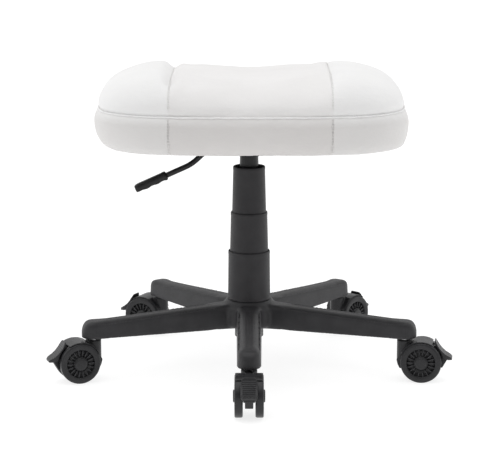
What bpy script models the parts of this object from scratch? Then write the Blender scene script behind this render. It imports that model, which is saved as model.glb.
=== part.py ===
"""Pedicure stool: a saddle seat on a gas lift with telescoping covers, on a five-legged
base with five braked twin-wheel casters.

Units are metres and +Z is up. The origin is the middle of the footprint, on the floor.
The front of the stool looks along -Y.
"""

import math

import bmesh
import bpy
from mathutils import Matrix, Vector

# ---------------------------------------------------------------- driving dimensions
GAP = 0.0003                    # air left between two touching pieces
COLUMN_Y = 0.0285               # column axis, measured from the middle of the footprint

# Star base
LEG_ANGLES = {                  # direction of each leg, in degrees about the column
    "front": 270,
    "right_front": 342,
    "right_rear": 54,
    "left_rear": 126,
    "left_front": 198,
}
STEM_CIRCLE = 0.2414            # radius of the circle on which the caster stems stand
LEG_TIP_HALF = 0.0172
LEG_ROOT_HALF = 0.0190
LEG_BOTTOM = 0.0638
LEG_TIP_TOP = 0.0893
LEG_ROOT_TOP = 0.1010
LEG_WALL = 0.0034
HUB_RADIUS = 0.0430
HUB_TOP = 0.1058
HUB_BOTTOM = 0.0680
SOCKET_TOP = 0.0850             # blind end of a caster socket
SOCKET_RADIUS = 0.0058

# Gas lift
TUBE_RADIUS = 0.0215            # outer column tube
TUBE_WALL = 0.0018
TUBE_BOTTOM = 0.0480
TUBE_TOP = 0.2050
TUBE_FLOOR = 0.0030
ROD_RADIUS = 0.0050
CYLINDER_RADIUS = 0.0140        # pressure tube, 28 mm
CYLINDER_BOTTOM = 0.1650
CYLINDER_TOP = 0.3315
BUTTON_RADIUS = 0.0040
BUTTON_TOP = 0.3357

# Telescoping covers: (lower outer radius, upper outer radius, bottom, top)
SLEEVE_WALL = 0.0013
SLEEVES = {
    "sleeve_lower": (0.0323, 0.0313, 0.1061, 0.1793),
    "sleeve_middle": (0.0294, 0.0275, 0.1670, 0.2383),
    "sleeve_upper": (0.0257, 0.0239, 0.2270, 0.3070),
}

# Seat
SEAT_SHIFT_X = 0.0030           # the seat sits a little to the right of the column
SEAT_HALF_X = 0.2285
SEAT_HALF_Y = 0.1745
SEAT_CORNER = 3.6               # exponent of the superellipse outline
SEAT_BOTTOM = 0.3465
SEAM_HEIGHT = 0.4040
CROWN = 0.0365                  # height of the middle of the seat above its seam
LOBE_RISE = 0.0210              # how much higher the side lobes stand
LOBE_X = 0.1450
COVER_THICKNESS = 0.0015
BOARD_THICKNESS = 0.0120
SEAT_SEGMENTS = 32

# Seat plate
PLATE_HALF = 0.0850
PLATE_THICKNESS = 0.0030
BOLT_X = 0.0750
BOLT_Y = 0.0750
PAN_HALF_X = 0.0450
PAN_HALF_Y = 0.0260
PAN_BOTTOM = 0.3265
PAN_WALL = 0.0022
TAPER_SOCKET_BOTTOM = 0.3225
TAPER_SOCKET_TOP = 0.3300
TAPER_SOCKET_RADIUS = 0.0160

# Height lever
LEVER_PIVOT = (-0.0300, 0.0, 0.3355)
LEVER_RADIUS = 0.0041
LEVER_PATH = ((-0.0200, 0.3355), (-0.0574, 0.3355), (-0.0856, 0.3095), (-0.1640, 0.2743))
GRIP_START = 0.0500             # length of the rod's last run that stays in the open
GRIP_LENGTH = 0.0520
GRIP_HALF_WIDTH = 0.0080
GRIP_HALF_HEIGHT = 0.0060

# Casters
CASTER_TRAIL = 0.0250           # from the stem's axis to the axle
CASTER_HEADINGS = {             # direction from stem to axle, in degrees
    "front": 270,
    "right_front": 352,
    "right_rear": 47,
    "left_rear": 155,
    "left_front": 201,
}
WHEEL_RADIUS = 0.0300
WHEEL_INNER = 0.0087            # inner face of a wheel, from the caster's middle
WHEEL_OUTER = 0.0205
HUB_CAP_OUTER = 0.0225
HUB_CAP_RADIUS = 0.0090
AXLE_RADIUS = 0.0030
NECK_RADIUS = 0.0117
NECK_TOP = 0.0609
NECK_BOTTOM = 0.0310
WEB_HALF = 0.0080
FENDER_HALF = 0.0198
FENDER_START = 72               # where the fender begins, in degrees up from the trail
STEM_RADIUS = 0.0055
PEDAL_PIVOT = (CASTER_TRAIL + 0.0140, 0.0, 0.0490)
PEDAL_HALF = 0.0120
PEDAL_PIN_RADIUS = 0.0020

ROUND = 28                      # sides of a large turned piece
WHEEL_ROUND = 20                # sides of a wheel
SMALL_ROUND = 12                # sides of a pin or a bore


# ---------------------------------------------------------------- scene and materials
def clear_scene():
    for obj in list(bpy.data.objects):
        bpy.data.objects.remove(obj, do_unlink=True)


def make_collection(name):
    collection = bpy.data.collections.new(name)
    bpy.context.scene.collection.children.link(collection)
    return collection


def make_material(name, color, roughness, metallic=0.0):
    material = bpy.data.materials.new(name)
    material.use_nodes = True
    shader = material.node_tree.nodes["Principled BSDF"]
    shader.inputs["Base Color"].default_value = (*color, 1.0)
    shader.inputs["Roughness"].default_value = roughness
    shader.inputs["Metallic"].default_value = metallic
    material.diffuse_color = (*color, 1.0)
    return material


PALETTE = {
    "leather": ((0.86, 0.85, 0.84), 0.45, 0.0),
    "foam": ((0.80, 0.77, 0.62), 0.90, 0.0),
    "plywood": ((0.55, 0.38, 0.22), 0.70, 0.0),
    "fleece": ((0.03, 0.03, 0.03), 0.95, 0.0),
    "black_steel": ((0.03, 0.03, 0.03), 0.40, 0.6),
    "bright_steel": ((0.62, 0.62, 0.63), 0.28, 1.0),
    "nylon": ((0.035, 0.034, 0.037), 0.50, 0.0),
    "wheel_nylon": ((0.02, 0.02, 0.021), 0.35, 0.0),
}


def paint(name, finish):
    return make_material(name, *PALETTE[finish])


# ---------------------------------------------------------------- modelling helpers
def empty(name, location, parent=None, turn=0.0):
    obj = bpy.data.objects.new(name, None)
    bpy.context.scene.collection.objects.link(obj)
    obj.location = location
    obj.rotation_euler = (0.0, 0.0, math.radians(turn))
    obj.parent = parent
    return obj


def place(name, mesh, finish, parent, location=(0.0, 0.0, 0.0), smooth_angle=35):
    """One finished sub-part, whose mesh is drawn about its own origin."""
    mesh.materials.clear()
    mesh.materials.append(paint(name, finish))
    mesh.shade_smooth()
    mesh.set_sharp_from_angle(angle=math.radians(smooth_angle))
    obj = bpy.data.objects.new(name, mesh)
    PARTS.objects.link(obj)
    obj.location = location
    obj.parent = parent
    return obj


def working_object(mesh, name="work"):
    obj = bpy.data.objects.new(name, mesh)
    CUTTERS.objects.link(obj)
    obj.hide_render = True
    obj.display_type = "WIRE"
    return obj


def finished_mesh(obj):
    """The object's evaluated mesh; the object itself goes."""
    bpy.context.view_layer.update()
    mesh = bpy.data.meshes.new_from_object(obj.evaluated_get(bpy.context.evaluated_depsgraph_get()))
    bpy.data.objects.remove(obj, do_unlink=True)
    return mesh


def combine(mesh, *steps):
    """Cuts and joins, in order: each step is ("DIFFERENCE" or "UNION", mesh)."""
    for operation, other in steps:
        target = working_object(mesh)
        tool = working_object(other, "cutter")
        modifier = target.modifiers.new(operation.title(), "BOOLEAN")
        modifier.operation = operation
        modifier.solver = "EXACT"
        modifier.object = tool
        mesh = finished_mesh(target)
        bpy.data.objects.remove(tool, do_unlink=True)
    return tidy(mesh)


def tidy(mesh):
    """Flat faces that a cut has split are joined again, and stray points go."""
    bm = bmesh.new()
    bm.from_mesh(mesh)
    bmesh.ops.remove_doubles(bm, verts=bm.verts, dist=0.00001)
    bmesh.ops.dissolve_limit(
        bm, angle_limit=math.radians(0.5), verts=bm.verts, edges=bm.edges, use_dissolve_boundaries=False
    )
    bmesh.ops.triangulate(bm, faces=[face for face in bm.faces if len(face.verts) > 4])
    bm.to_mesh(mesh)
    bm.free()
    return mesh


def box(low, high):
    bm = bmesh.new()
    bmesh.ops.create_cube(bm, size=1.0)
    size = Vector(high) - Vector(low)
    middle = (Vector(high) + Vector(low)) / 2
    bmesh.ops.scale(bm, vec=size, verts=bm.verts)
    bmesh.ops.translate(bm, vec=middle, verts=bm.verts)
    return mesh_from(bm, "box")


def mesh_from(bm, name):
    mesh = bpy.data.meshes.new(name)
    bm.to_mesh(mesh)
    bm.free()
    return mesh


def turned(profile, segments=ROUND, closed=False):
    """A solid of revolution about Z. The profile is (radius, height) points that run down
    the outer side; a closed one comes back up the bore."""
    mesh = bpy.data.meshes.new("turned")
    points = [(radius, 0.0, height) for radius, height in profile]
    edges = [(i, i + 1) for i in range(len(points) - 1)]
    if closed:
        edges.append((len(points) - 1, 0))
    mesh.from_pydata(points, edges, [])
    obj = working_object(mesh)
    screw = obj.modifiers.new("Screw", "SCREW")
    screw.axis = "Z"
    screw.steps = segments
    screw.render_steps = segments
    screw.use_merge_vertices = True
    screw.merge_threshold = 0.00001
    screw.use_smooth_shade = False
    return finished_mesh(obj)


def disc(radius, low, high, segments=SMALL_ROUND):
    """A plain cylinder on the Z axis."""
    return turned([(0.0, high), (radius, high), (radius, low), (0.0, low)], segments)


def tube(outer, inner, low, high, segments=ROUND):
    return turned([(outer, high), (outer, low), (inner, low), (inner, high)], segments, closed=True)


def moved(mesh, offset=(0.0, 0.0, 0.0), lie_along=None, turn=0.0):
    """The mesh after it is laid along "X" or "Y", turned about Z and shifted."""
    if lie_along == "Y":
        mesh.transform(rotation("X", -90))
    if lie_along == "X":
        mesh.transform(rotation("Y", 90))
    mesh.transform(rotation("Z", turn))
    for vertex in mesh.vertices:
        vertex.co += Vector(offset)
    return mesh


def rotation(axis, degrees):
    return Matrix.Rotation(math.radians(degrees), 4, axis)


def loft(sections, name="loft"):
    """A closed body through rings of points; every ring has the same number of points."""
    bm = bmesh.new()
    rings = [[bm.verts.new(point) for point in section] for section in sections]
    count = len(rings[0])
    for near, far in zip(rings, rings[1:]):
        for i in range(count):
            j = (i + 1) % count
            bm.faces.new((near[i], near[j], far[j], far[i]))
    bm.faces.new(list(reversed(rings[0])))
    bm.faces.new(rings[-1])
    bmesh.ops.recalc_face_normals(bm, faces=bm.faces)
    return mesh_from(bm, name)


def slab(outline, low, high):
    """A flat outline in X and Y, made as thick as low to high."""
    curve = bpy.data.curves.new("outline", "CURVE")
    curve.dimensions = "2D"
    curve.fill_mode = "BOTH"
    curve.extrude = (high - low) / 2
    spline = curve.splines.new("POLY")
    spline.points.add(len(outline) - 1)
    for point, (x, y) in zip(spline.points, outline):
        point.co = (x, y, 0.0, 1.0)
    spline.use_cyclic_u = True
    obj = working_object(curve)
    mesh = weld(finished_mesh(obj))
    return moved(mesh, (0.0, 0.0, (high + low) / 2))


def upright_slab(outline, half):
    """A flat outline in X and Z, as thick as half to each side of Y = 0."""
    mesh = slab([(x, z) for x, z in outline], -half, half)
    mesh.transform(rotation("X", 90))
    return mesh


def weld(mesh):
    bm = bmesh.new()
    bm.from_mesh(mesh)
    bmesh.ops.remove_doubles(bm, verts=bm.verts, dist=0.00001)
    bmesh.ops.recalc_face_normals(bm, faces=bm.faces)
    bm.to_mesh(mesh)
    bm.free()
    return mesh


def arc(centre, radius, start, end, steps):
    """Points on a circle, from start to end in degrees, both ends included."""
    points = []
    for i in range(steps + 1):
        angle = math.radians(start + (end - start) * i / steps)
        points.append((centre[0] + radius * math.cos(angle), centre[1] + radius * math.sin(angle)))
    return points


def rounded_path(points, radius, steps=4):
    """The path with each inner corner replaced by an arc-like curve."""
    path = [Vector(points[0])]
    for before, corner, after in zip(points, points[1:], points[2:]):
        corner = Vector(corner)
        start = corner + (Vector(before) - corner).normalized() * radius
        end = corner + (Vector(after) - corner).normalized() * radius
        for i in range(steps + 1):
            t = i / steps
            path.append(start * (1 - t) ** 2 + corner * (2 * t * (1 - t)) + end * t ** 2)
    path.append(Vector(points[-1]))
    return path


def wire(points, radius, resolution=2):
    """A round bar along a path, as a closed mesh."""
    curve = bpy.data.curves.new("wire", "CURVE")
    curve.dimensions = "3D"
    curve.bevel_depth = radius
    curve.bevel_resolution = resolution
    curve.use_fill_caps = True
    spline = curve.splines.new("POLY")
    spline.points.add(len(points) - 1)
    for point, place_at in zip(spline.points, points):
        point.co = (*place_at, 1.0)
    return weld(finished_mesh(working_object(curve)))


# ---------------------------------------------------------------- star base
def leg_half_width(reach):
    share = min(max((reach - HUB_RADIUS) / (STEM_CIRCLE - HUB_RADIUS), 0.0), 1.0)
    return LEG_ROOT_HALF + (LEG_TIP_HALF - LEG_ROOT_HALF) * share


def leg_top(reach):
    share = min(max((reach - HUB_RADIUS) / (STEM_CIRCLE - HUB_RADIUS), 0.0), 1.0)
    return LEG_ROOT_TOP + (LEG_TIP_TOP - LEG_ROOT_TOP) * share


def leg_section(reach, half, top):
    """Flat-topped section with soft shoulders; the sides spread a little towards the floor."""
    depth = top - LEG_BOTTOM
    shoulder = min(0.0070, half * 0.45, depth * 0.6)
    upper = half - 0.0012 * min(1.0, half / LEG_TIP_HALF)
    right = arc((upper - shoulder, top - shoulder), shoulder, 90, 0, 3)
    outline = right + [(half, LEG_BOTTOM)]
    outline += [(-across, height) for across, height in reversed(outline)]
    return [(reach, across, height) for across, height in outline]


def leg_mesh():
    """One leg along +X, from inside the hub to its rounded tip."""
    sections = []
    for reach in (0.020, 0.060, 0.120, 0.180, STEM_CIRCLE):
        sections.append(leg_section(reach, leg_half_width(reach), leg_top(reach)))
    nose = 0.0144
    nose_start = STEM_CIRCLE + LEG_TIP_HALF - nose
    nose_bottom = LEG_TIP_TOP - 0.0180
    for step in (0.25, 0.50, 0.75, 0.93, 0.995):
        reach = nose_start + nose * step
        half = math.sqrt(LEG_TIP_HALF ** 2 - (reach - STEM_CIRCLE) ** 2)
        top = nose_bottom + (LEG_TIP_TOP - nose_bottom) * math.sqrt(1.0 - step ** 2)
        sections.append(leg_section(reach, half, top))
    return loft(sections, "leg")


def leg_pockets():
    """The hollows between the cross ribs under one leg."""
    first, last, count, rib = 0.0560, 0.2200, 4, 0.0030
    pitch = (last - first + rib) / count
    pockets = []
    for i in range(count):
        near = first + i * pitch
        far = near + pitch - rib
        half = leg_half_width(far) - LEG_WALL
        ceiling = leg_top(far) - LEG_WALL
        pockets.append(box((near, -half, LEG_BOTTOM - 0.010), (far, half, ceiling)))
    return pockets


def star_base():
    hub = turned(
        [
            (0.0, HUB_TOP),
            (0.0338, HUB_TOP),
            (0.0352, HUB_TOP - 0.0012),
            (0.0375, HUB_TOP - 0.0060),
            (HUB_RADIUS, LEG_ROOT_TOP - 0.0050),
            (HUB_RADIUS + 0.0010, HUB_BOTTOM),
            (0.0, HUB_BOTTOM),
        ]
    )
    leg = leg_mesh()
    for pocket in leg_pockets():
        leg = combine(leg, ("DIFFERENCE", pocket))
    socket = moved(disc(SOCKET_RADIUS, LEG_BOTTOM - 0.010, SOCKET_TOP), (STEM_CIRCLE, 0.0, 0.0))
    leg = combine(leg, ("DIFFERENCE", socket))
    body = hub
    for angle in LEG_ANGLES.values():
        body = combine(body, ("UNION", moved(leg.copy(), turn=angle)))
    bore = disc(TUBE_RADIUS + GAP, LEG_BOTTOM - 0.010, HUB_TOP + 0.010, ROUND)
    return combine(body, ("DIFFERENCE", bore))


# ---------------------------------------------------------------- gas lift and covers
def column_tube():
    inner = TUBE_RADIUS - TUBE_WALL
    return turned(
        [
            (TUBE_RADIUS, TUBE_TOP),
            (TUBE_RADIUS, TUBE_BOTTOM),
            (ROD_RADIUS + 0.0012, TUBE_BOTTOM),
            (ROD_RADIUS + 0.0012, TUBE_BOTTOM + TUBE_FLOOR),
            (inner, TUBE_BOTTOM + TUBE_FLOOR),
            (inner, TUBE_TOP),
        ],
        closed=True,
    )


def column_bushing():
    outer = TUBE_RADIUS - TUBE_WALL - GAP
    inner = CYLINDER_RADIUS + GAP
    collar = TUBE_TOP + GAP
    return turned(
        [
            (outer + TUBE_WALL, collar + 0.0020),
            (outer + TUBE_WALL, collar),
            (outer, collar),
            (outer, 0.1400),
            (inner, 0.1400),
            (inner, collar + 0.0020),
        ],
        closed=True,
    )


def piston_rod():
    shoulder = TUBE_BOTTOM + TUBE_FLOOR + 0.0066
    groove = TUBE_BOTTOM - 0.0016
    return turned(
        [
            (0.0, 0.1920),
            (0.0112, 0.1920),
            (0.0112, 0.1800),
            (ROD_RADIUS, 0.1800),
            (ROD_RADIUS, shoulder + 0.0040),
            (0.0085, shoulder + 0.0040),
            (0.0085, shoulder),
            (ROD_RADIUS, shoulder),
            (ROD_RADIUS, groove + 0.0012),
            (ROD_RADIUS - 0.0010, groove + 0.0012),
            (ROD_RADIUS - 0.0010, groove),
            (ROD_RADIUS, groove),
            (ROD_RADIUS, groove - 0.0030),
            (0.0, groove - 0.0030),
        ],
        SMALL_ROUND,
    )


def retaining_clip():
    """A spring clip in the rod's groove, open on one side."""
    groove = TUBE_BOTTOM - 0.0016
    ring = tube(0.0090, ROD_RADIUS - 0.0010 + 0.0002, groove + 0.0001, groove + 0.0011, 20)
    mouth = box((-0.0028, 0.0, groove - 0.0010), (0.0028, 0.0120, groove + 0.0030))
    return combine(ring, ("DIFFERENCE", mouth))


def thrust_bearing():
    """Two washers with the ball race between them, as one stack."""
    floor = TUBE_BOTTOM + TUBE_FLOOR + GAP
    inner, outer = ROD_RADIUS + GAP, 0.0120
    return turned(
        [
            (outer, floor + 0.0060),
            (outer, floor + 0.0045),
            (outer - 0.0015, floor + 0.0045),
            (outer - 0.0015, floor + 0.0015),
            (outer, floor + 0.0015),
            (outer, floor),
            (inner, floor),
            (inner, floor + 0.0060),
        ],
        16,
        closed=True,
    )


def gas_cylinder():
    """Pressure tube: its lower end takes the piston rod, its tapered top takes the button."""
    gland = ROD_RADIUS + GAP
    bore = 0.0120
    shell = turned(
        [
            (0.0, CYLINDER_TOP),
            (0.0134, CYLINDER_TOP),
            (CYLINDER_RADIUS, 0.3120),
            (CYLINDER_RADIUS, CYLINDER_BOTTOM),
            (gland, CYLINDER_BOTTOM),
            (gland, CYLINDER_BOTTOM + 0.0100),
            (bore, CYLINDER_BOTTOM + 0.0100),
            (bore, 0.3000),
            (0.0, 0.3000),
        ]
    )
    return combine(shell, ("DIFFERENCE", disc(BUTTON_RADIUS + GAP, 0.3235, CYLINDER_TOP + 0.010)))


def release_button():
    return turned(
        [
            (0.0, BUTTON_TOP),
            (BUTTON_RADIUS - 0.0008, BUTTON_TOP),
            (BUTTON_RADIUS, BUTTON_TOP - 0.0008),
            (BUTTON_RADIUS, 0.3280),
            (0.0, 0.3280),
        ],
        SMALL_ROUND,
    )


def sleeve(low_radius, high_radius, bottom, top):
    """A slightly conical cover with a rolled rim."""
    rim = 0.0010
    return turned(
        [
            (high_radius - rim, top),
            (high_radius, top - rim),
            (low_radius, bottom),
            (low_radius - SLEEVE_WALL, bottom),
            (high_radius - SLEEVE_WALL, top),
        ],
        closed=True,
    )


# ---------------------------------------------------------------- seat
def seat_outline(inset, share=1.0):
    """Points of the rounded-rectangle outline, moved in by inset and shrunk to share."""
    points = []
    for i in range(SEAT_SEGMENTS):
        angle = 2 * math.pi * i / SEAT_SEGMENTS
        c, s = math.cos(angle), math.sin(angle)
        x = math.copysign(abs(c) ** (2 / SEAT_CORNER), c) * (SEAT_HALF_X - inset) * share + SEAT_SHIFT_X
        y = math.copysign(abs(s) ** (2 / SEAT_CORNER), s) * (SEAT_HALF_Y - inset) * share
        points.append((x, y))
    return points


def crown_height(x, share):
    """Height of the top panel above its lower edge, over X and the share of the way out."""
    t = min(abs(x - SEAT_SHIFT_X) / LOBE_X, 1.0)
    lobe = LOBE_RISE * t * t * (3 - 2 * t)
    return (CROWN - 0.0045 + lobe) * (1 - share ** 5.5) ** (1 / 1.8)


def seat_rings(skin, wall_profile):
    """Rings of a seat body that lies a distance of skin inside the outer surface."""
    rings = []
    for inset, height in wall_profile:
        rings.append([(x, y, height) for x, y in seat_outline(inset + skin)])
    top_edge = SEAM_HEIGHT + 0.0045 - skin
    for share in (0.975, 0.92, 0.82, 0.66, 0.42, 0.18):
        ring = seat_outline(0.0055 + skin, share)
        rings.append([(x, y, top_edge + crown_height(x, share)) for x, y in ring])
    return rings, top_edge + crown_height(SEAT_SHIFT_X, 0.0)


def seat_surface(rings, peak, close_bottom):
    bm = bmesh.new()
    loops = [[bm.verts.new(point) for point in ring] for ring in rings]
    count = SEAT_SEGMENTS
    for low, high in zip(loops, loops[1:]):
        for i in range(count):
            j = (i + 1) % count
            bm.faces.new((low[i], low[j], high[j], high[i]))
    top = bm.verts.new((SEAT_SHIFT_X, 0.0, peak))
    for i in range(count):
        bm.faces.new((loops[-1][i], loops[-1][(i + 1) % count], top))
    if close_bottom:
        bm.faces.new(list(reversed(loops[0])))
    return mesh_from(bm, "seat")


def seat_cover():
    """The sewn skin: a boxing band, a pinched seam, the crowned top and a turned-under hem."""
    profile = (
        (0.0350, SEAT_BOTTOM),
        (0.0180, SEAT_BOTTOM),
        (0.0090, SEAT_BOTTOM + 0.0070),
        (0.0025, SEAT_BOTTOM + 0.0220),
        (0.0, SEAT_BOTTOM + 0.0400),
        (0.0030, SEAT_BOTTOM + 0.0520),
        (0.0080, SEAM_HEIGHT),
        (0.0055, SEAM_HEIGHT + 0.0045),
    )
    rings, peak = seat_rings(0.0, profile)
    obj = working_object(seat_surface(rings, peak, close_bottom=False))
    solidify = obj.modifiers.new("Solidify", "SOLIDIFY")
    solidify.thickness = COVER_THICKNESS
    solidify.offset = -1.0
    return finished_mesh(obj)


def board_bottom():
    return SEAT_BOTTOM + COVER_THICKNESS + GAP


def seat_foam():
    skin = COVER_THICKNESS + 0.0015
    base = board_bottom() + BOARD_THICKNESS + GAP
    profile = (
        (0.0075, base),
        (0.0030, SEAT_BOTTOM + 0.0240),
        (0.0005, SEAT_BOTTOM + 0.0400),
        (0.0035, SEAT_BOTTOM + 0.0510),
        (0.0095, SEAM_HEIGHT - 0.0010),
        (0.0080, SEAM_HEIGHT + 0.0045 - skin),
    )
    rings, peak = seat_rings(skin, profile)
    return seat_surface(rings, peak, close_bottom=True)


def bolt_places():
    return [(sx * BOLT_X, sy * BOLT_Y) for sx in (-1, 1) for sy in (-1, 1)]


def seat_board():
    bottom = board_bottom()
    board = slab(seat_outline(0.0200), bottom, bottom + BOARD_THICKNESS)
    for x, y in bolt_places():
        hole = moved(disc(0.0043, bottom - 0.010, bottom + BOARD_THICKNESS - 0.0008), (x, y, 0.0))
        board = combine(board, ("DIFFERENCE", hole))
    return board


def underside_cover():
    """Dust cover inside the hem, under the board."""
    sheet = slab(seat_outline(0.0362), SEAT_BOTTOM + GAP, SEAT_BOTTOM + COVER_THICKNESS)
    for x, y in bolt_places():
        sheet = combine(sheet, ("DIFFERENCE", moved(disc(0.0045, 0.30, 0.40), (x, y, 0.0))))
    return sheet


# ---------------------------------------------------------------- seat plate and lever
def mounting_plate():
    """Pressed plate with a pan that holds the taper socket and the lever's pivot."""
    top = SEAT_BOTTOM
    flange = box((-PLATE_HALF, -PLATE_HALF, top - PLATE_THICKNESS), (PLATE_HALF, PLATE_HALF, top))
    pan = box((-PAN_HALF_X, -PAN_HALF_Y, PAN_BOTTOM), (PAN_HALF_X, PAN_HALF_Y, top - 0.0010))
    hollow = box(
        (-PAN_HALF_X + PAN_WALL, -PAN_HALF_Y + PAN_WALL, PAN_BOTTOM + PAN_WALL),
        (PAN_HALF_X - PAN_WALL, PAN_HALF_Y - PAN_WALL, top + 0.010),
    )
    socket_hole = disc(TAPER_SOCKET_RADIUS + GAP, PAN_BOTTOM - 0.010, PAN_BOTTOM + 0.010, ROUND)
    px, _, pz = LEVER_PIVOT
    pin_hole = moved(disc(0.0024, -0.040, 0.040, 12), (px, 0.0, pz), lie_along="Y")
    slot = box((-PAN_HALF_X - 0.010, -0.0050, pz - 0.0056), (-PAN_HALF_X + 0.010, 0.0050, pz + 0.0072))
    plate = combine(
        flange,
        ("UNION", pan),
        ("DIFFERENCE", hollow),
        ("DIFFERENCE", socket_hole),
        ("DIFFERENCE", pin_hole),
        ("DIFFERENCE", slot),
    )
    for x, y in bolt_places():
        plate = combine(plate, ("DIFFERENCE", moved(disc(0.0044, 0.30, 0.40), (x, y, 0.0))))
    return plate


def taper_socket():
    """Steel cone that seats on the gas cylinder's tapered end."""
    def bore(height):
        share = (height - 0.3120) / (CYLINDER_TOP - 0.3120)
        return CYLINDER_RADIUS + (0.0134 - CYLINDER_RADIUS) * share + GAP
    return turned(
        [
            (0.0158, TAPER_SOCKET_TOP),
            (TAPER_SOCKET_RADIUS, TAPER_SOCKET_BOTTOM + 0.0010),
            (TAPER_SOCKET_RADIUS - 0.0006, TAPER_SOCKET_BOTTOM),
            (bore(TAPER_SOCKET_BOTTOM), TAPER_SOCKET_BOTTOM),
            (bore(TAPER_SOCKET_TOP), TAPER_SOCKET_TOP),
        ],
        closed=True,
    )


def plate_bolt():
    """M8 hexagon bolt, head down, drawn about the plate's lower face."""
    head = disc(0.0075, -0.0056, -GAP, 6)
    washer = disc(0.0086, -0.0016, -GAP, SMALL_ROUND)
    shank = disc(0.0040, -0.0030, PLATE_THICKNESS + COVER_THICKNESS + 0.0110, SMALL_ROUND)
    return combine(head, ("UNION", washer), ("UNION", shank))


def lever_points():
    path = [(x, 0.0, z) for x, z in LEVER_PATH]
    return rounded_path(path, 0.0080)


def lever_rod():
    """Bent rod with a flat tongue that lies over the release button."""
    px, _, pz = LEVER_PIVOT
    rod = wire(lever_points(), LEVER_RADIUS)
    tongue = box((-0.0240, -0.0040, BUTTON_TOP + GAP), (0.0050, 0.0040, BUTTON_TOP + GAP + 0.0028))
    hole = moved(disc(0.0024, -0.020, 0.020, 12), (px, 0.0, pz), lie_along="Y")
    mesh = combine(rod, ("UNION", tongue), ("DIFFERENCE", hole))
    return moved(mesh, (-px, 0.0, -pz))


def squarish(value):
    """Pushes a cosine or a sine outwards, which makes a circle a rounded square."""
    return math.copysign(abs(value) ** 0.7, value)


def lever_grip():
    """Moulded handle on the end of the rod, with finger hollows below."""
    corner = Vector((LEVER_PATH[2][0], 0.0, LEVER_PATH[2][1]))
    end = Vector((LEVER_PATH[3][0], 0.0, LEVER_PATH[3][1]))
    along = (end - corner).normalized()
    up = Vector((0.0, 1.0, 0.0)).cross(along)
    start = corner + along * (GRIP_START - 0.0100)
    sections = []
    stations = (0.0, 0.05, 0.15, 0.28, 0.41, 0.54, 0.67, 0.80, 0.92, 1.0)
    for station in stations:
        end_taper = 0.72 if station in (0.0, 1.0) else 1.0
        scallop = 0.0012 * (0.5 - 0.5 * math.cos(4 * math.pi * station))
        middle = start + along * (GRIP_LENGTH * station)
        ring = []
        for i in range(12):
            angle = 2 * math.pi * i / 12
            across = GRIP_HALF_WIDTH * end_taper * squarish(math.cos(angle))
            height = GRIP_HALF_HEIGHT * end_taper * squarish(math.sin(angle))
            if height < 0:
                height += scallop
            ring.append(middle + Vector((0.0, across, 0.0)) + up * height)
        sections.append(ring)
    grip = loft(sections, "grip")
    past_end = end + along * 0.0004
    rod_bore = wire([corner + along * 0.020, past_end], LEVER_RADIUS + GAP)
    mesh = combine(grip, ("DIFFERENCE", rod_bore))
    px, _, pz = LEVER_PIVOT
    return moved(mesh, (-px, 0.0, -pz))


# ---------------------------------------------------------------- casters
def wheel_clearance(side):
    """The space in which one wheel turns."""
    mesh = disc(WHEEL_RADIUS + 0.0006, WEB_HALF, 0.040, WHEEL_ROUND)
    mesh = moved(mesh, lie_along="Y")
    if side < 0:
        mesh.transform(rotation("Z", 180))
    return moved(mesh, (CASTER_TRAIL, 0.0, WHEEL_RADIUS))


def caster_hood():
    """Neck, web between the wheels and fender over the treads, drawn about the stem's axis."""
    axle = (CASTER_TRAIL, WHEEL_RADIUS)
    neck = disc(NECK_RADIUS, NECK_BOTTOM, NECK_TOP, 16)
    outer = WHEEL_RADIUS + 0.0020
    web_outline = arc(axle, outer - 0.0006, FENDER_START + 2, 156, 6)
    web_outline += [(-NECK_RADIUS, NECK_BOTTOM + 0.0005), (-0.0098, 0.0240), (-0.0070, 0.0185), (0.0, 0.0170)]
    web_outline += arc(axle, 0.0100, 215, 345, 4)
    web_outline += arc((PEDAL_PIVOT[0], PEDAL_PIVOT[2]), 0.0052, -40, 70, 3)
    web = upright_slab(web_outline, WEB_HALF)
    fender_outline = arc(axle, outer, FENDER_START, 158, 6)
    fender_outline += arc(axle, WHEEL_RADIUS + 0.0007, 158, FENDER_START, 6)
    fender = upright_slab(fender_outline, FENDER_HALF)
    stem_bore = disc(STEM_RADIUS + GAP, 0.0395, NECK_TOP + 0.010)
    axle_bore = moved(disc(AXLE_RADIUS + GAP, -0.030, 0.030, 12), (axle[0], 0.0, axle[1]), lie_along="Y")
    pedal_slot = box((CASTER_TRAIL + 0.0088, -0.0048, 0.0385), (CASTER_TRAIL + 0.040, 0.0048, 0.080))
    pin_hole = moved(disc(PEDAL_PIN_RADIUS + GAP, -0.020, 0.020, 12), PEDAL_PIVOT, lie_along="Y")
    return combine(
        neck,
        ("UNION", web),
        ("DIFFERENCE", wheel_clearance(1)),
        ("DIFFERENCE", wheel_clearance(-1)),
        ("UNION", fender),
        ("DIFFERENCE", stem_bore),
        ("DIFFERENCE", axle_bore),
        ("DIFFERENCE", pedal_slot),
        ("DIFFERENCE", pin_hole),
    )


def caster_stem():
    """Grip-neck stem: its pin is held in the leg and the hood turns on its lower end."""
    flange = NECK_TOP + GAP
    return turned(
        [
            (0.0, SOCKET_TOP - 0.0006),
            (0.0044, SOCKET_TOP - 0.0006),
            (STEM_RADIUS, SOCKET_TOP - 0.0022),
            (STEM_RADIUS, LEG_BOTTOM - GAP),
            (0.0085, LEG_BOTTOM - GAP),
            (0.0085, flange),
            (STEM_RADIUS, flange),
            (STEM_RADIUS, 0.0402),
            (0.0, 0.0402),
        ],
        SMALL_ROUND,
    )


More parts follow.
